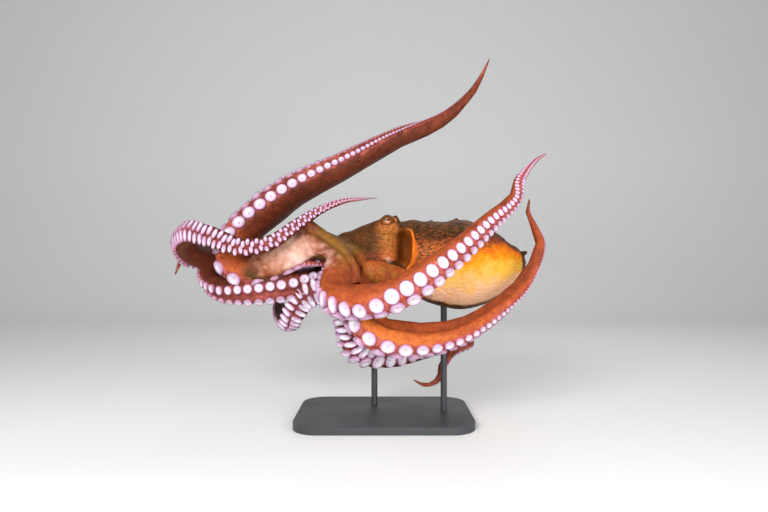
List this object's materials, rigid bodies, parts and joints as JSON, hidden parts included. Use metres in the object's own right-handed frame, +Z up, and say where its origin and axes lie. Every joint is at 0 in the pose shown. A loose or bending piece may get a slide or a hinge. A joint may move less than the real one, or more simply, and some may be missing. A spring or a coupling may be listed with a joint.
{
  "type": "octopus",
  "caption": "Life-size still model of a giant Pacific octopus swimming with its arms trailing, held on a plain display stand.",
  "frame": {"origin": "on the floor, under the middle of the whole model's box", "axes": "+Z up; -X the way that the arms reach from the mouth, +X towards the end of the mantle; -Y the animal's left side"},
  "size_m": [0.9484, 0.537, 0.9416],
  "materials": {
    "arm_skin": "moist orange-brown skin, brick red on the backs of the arms and pink between the suckers",
    "web_skin": "smooth thin skin, olive-tan outside and pinkish cream inside",
    "body_skin": "moist wrinkled skin, dark brown above with red-orange ridges, bright orange to cream below",
    "sucker": "satin white cups with lilac rims",
    "eye": "clear orange-gold iris with a dark level slit",
    "stand_paint": "satin black powder coat"
  },
  "bodies": {
    "root": {"eye_left": "eye", "eye_right": "eye", "head": "body_skin", "mantle": "body_skin", "crown": "web_skin", "siphon": "body_skin", "arm_left_1_length_1": "arm_skin", "arm_left_1_length_2": "arm_skin", "arm_left_1_length_3": "arm_skin", "arm_left_1_length_4": "arm_skin", "arm_left_1_length_5": "arm_skin", "arm_left_2_length_1": "arm_skin", "arm_left_2_length_2": "arm_skin", "arm_left_2_length_3": "arm_skin", "arm_left_2_length_4": "arm_skin", "arm_left_3_length_1": "arm_skin", "arm_left_3_length_2": "arm_skin", "arm_left_3_length_3": "arm_skin", "arm_left_3_length_4": "arm_skin", "arm_left_4_length_1": "arm_skin", "arm_left_4_length_2": "arm_skin", "arm_left_4_length_3": "arm_skin", "arm_left_4_length_4": "arm_skin", "arm_right_4_length_1": "arm_skin", "arm_right_4_length_2": "arm_skin", "arm_right_4_length_3": "arm_skin", "arm_right_4_length_4": "arm_skin", "arm_right_3_length_1": "arm_skin", "arm_right_3_length_2": "arm_skin", "arm_right_3_length_3": "arm_skin", "arm_right_3_length_4": "arm_skin", "arm_right_3_length_5": "arm_skin", "arm_right_2_length_1": "arm_skin", "arm_right_2_length_2": "arm_skin", "arm_right_2_length_3": "arm_skin", "arm_right_2_length_4": "arm_skin", "arm_right_1_length_1": "arm_skin", "arm_right_1_length_2": "arm_skin", "arm_right_1_length_3": "arm_skin", "arm_right_1_length_4": "arm_skin", "arm_right_1_length_5": "arm_skin", "arm_right_1_length_6": "arm_skin", "web_left_1_to_left_2": "web_skin", "web_left_2_to_left_3": "web_skin", "web_left_3_to_left_4": "web_skin", "web_left_4_to_right_4": "web_skin", "web_right_4_to_right_3": "web_skin", "web_right_3_to_right_2": "web_skin", "web_right_2_to_right_1": "web_skin", "web_right_1_to_left_1": "web_skin", "stand_base": "stand_paint", "stand_rod_front": "stand_paint", "stand_rod_back": "stand_paint"}
  },
  "joints": []
}
